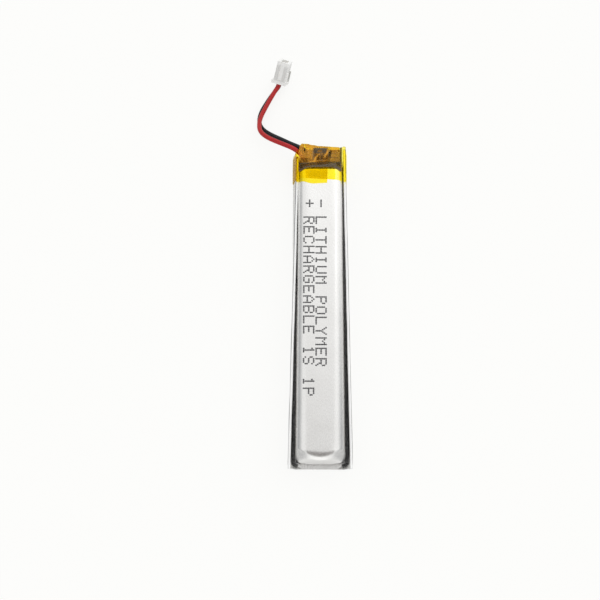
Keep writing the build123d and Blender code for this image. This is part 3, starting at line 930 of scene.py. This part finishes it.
# The cap lies on the board's end, bends over it and hangs down to the table.
cap_rows = []
for step in range(CAP_STEPS + 1):
    x = CAP_FROM_X + CAP_WIDTH * step / CAP_STEPS
    wave = 0.03 * noise.noise(Vector((x * 1.1, 3, 3)))
    fold_y = tape_head(x) - 0.1
    over = tape_top(x, fold_y, CAP_LIFT)
    row = []
    for short in (0.8, 0.6, 0.4, 0.2, 0.0):
        row.append(Vector((x, fold_y - short, tape_top(x, fold_y - short, CAP_LIFT))))
    for go in range(1, 5):
        angle = go * math.pi / 8
        drop = CAP_BEND * (1 - math.cos(angle))
        row.append(Vector((x, fold_y + CAP_BEND * math.sin(angle), over - drop)))
    for go in range(1, 6):
        drop = CAP_BEND + (over - CAP_BEND - CAP_FOOT_Z) * go / 5
        row.append(Vector((x, fold_y + CAP_BEND + wave * go / 5, over - drop)))
    cap_rows.append(row)
cap_shell = laid_film(cap_rows)
bmesh.ops.recalc_face_normals(cap_shell, faces=cap_shell.faces)
tape_cap = settle(cap_shell, "tape_cap", TAPE, amber_film)
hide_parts("tape_end_strip")

# Room. A plain pale table, a lamp box above it and a white sky with a grey patch towards the
# folded end, a window at the far right and darker sides.
TABLE_SIZE, TABLE_Z = 3, -0.00003
SHADE_MIDDLE = -0.52
table_material = bpy.data.materials.new("table_top")
table_shading = Shading(table_material)
nodes = table_shading.tree.nodes
nodes.remove(nodes["Principled BSDF"])
matt = table_shading.add("ShaderNodeBsdfDiffuse", inputs={"Color": (0.93, 0.93, 0.92, 1)})
glow = table_shading.add("ShaderNodeEmission", inputs={"Color": (1.0, 1.0, 0.985, 1), "Strength": 1.0})
seen = table_shading.add("ShaderNodeLightPath", output="Is Camera Ray")
mirrored = table_shading.add("ShaderNodeLightPath", output="Is Glossy Ray")
through = table_shading.add("ShaderNodeLightPath", output="Is Transmission Ray")
share = 0.88 * (seen + through) + 0.25 * mirrored
mix = table_shading.add("ShaderNodeMixShader", inputs={0: share, 1: matt, 2: glow})
table_shading.feed(nodes["Material Output"].inputs["Surface"], mix)
table_mesh = bmesh.new()
bmesh.ops.create_grid(table_mesh, x_segments=1, y_segments=1, size=TABLE_SIZE)
bmesh.ops.translate(table_mesh, vec=(0, 0, TABLE_Z), verts=table_mesh.verts)
table_data = bpy.data.meshes.new("table")
table_mesh.to_mesh(table_data)
table_mesh.free()
table_data.materials.append(table_material)
table = bpy.data.objects.new("table", table_data)
bpy.context.collection.objects.link(table)

world = bpy.data.worlds.new("studio")
bpy.context.scene.world = world
sky = Shading(world)
direction = sky.add("ShaderNodeTexCoord", output="Generated")
heading_x, heading_y, _ = sky.parts(direction)
sideways = abs(heading_x)
from_shade = heading_y - SHADE_MIDDLE
from_shade = (from_shade * from_shade + 4 * heading_x * heading_x) ** 0.5
open_sky = from_shade.rise(0.3, 0.72)
side_fall = sideways.rise(0.6, 1.0)
window = heading_x.rise(0.12, 0.34) * heading_y.rise(0.12, 0.3)
front = (0 - heading_y).rise(0.72, 0.85) * (1 - sideways.rise(0.15, 0.45))
low_sides = (0 - heading_y).rise(0.2, 0.7) * sideways.rise(0.2, 0.7)
colour = sky.tint(open_sky, (0.20, 0.185, 0.175, 1), (1.0, 1.0, 0.995, 1))
colour = sky.tint(side_fall, colour, (0.40, 0.41, 0.42, 1))
colour = sky.tint(window, colour, (1.3, 1.3, 1.29, 1))
colour = sky.tint(front, colour, (1.3, 1.3, 1.29, 1))
colour = sky.tint(low_sides, colour, (0.56, 0.565, 0.57, 1))
backdrop = sky.add("ShaderNodeLightPath", output="Is Camera Ray")
colour = sky.tint(backdrop, colour, (1.0, 1.0, 0.99, 1))
background = sky.tree.nodes["Background"]
sky.feed(background.inputs["Color"], colour)
sky.feed(background.inputs["Strength"], 1.0)


def soft_lamp(name, place, size, power):
    """Square area lamp that faces the cell."""
    data = bpy.data.lights.new(name, "AREA")
    data.size = size
    data.energy = power
    lamp = bpy.data.objects.new(name, data)
    lamp.location = place
    lamp.rotation_mode = "QUATERNION"
    lamp.rotation_quaternion = Vector(place).to_track_quat("Z", "Y")
    bpy.context.collection.objects.link(lamp)


soft_lamp("top_box", (0.15, 0.3, 0.5), 0.3, 0.12)
bpy.context.scene.view_settings.view_transform = "Standard"
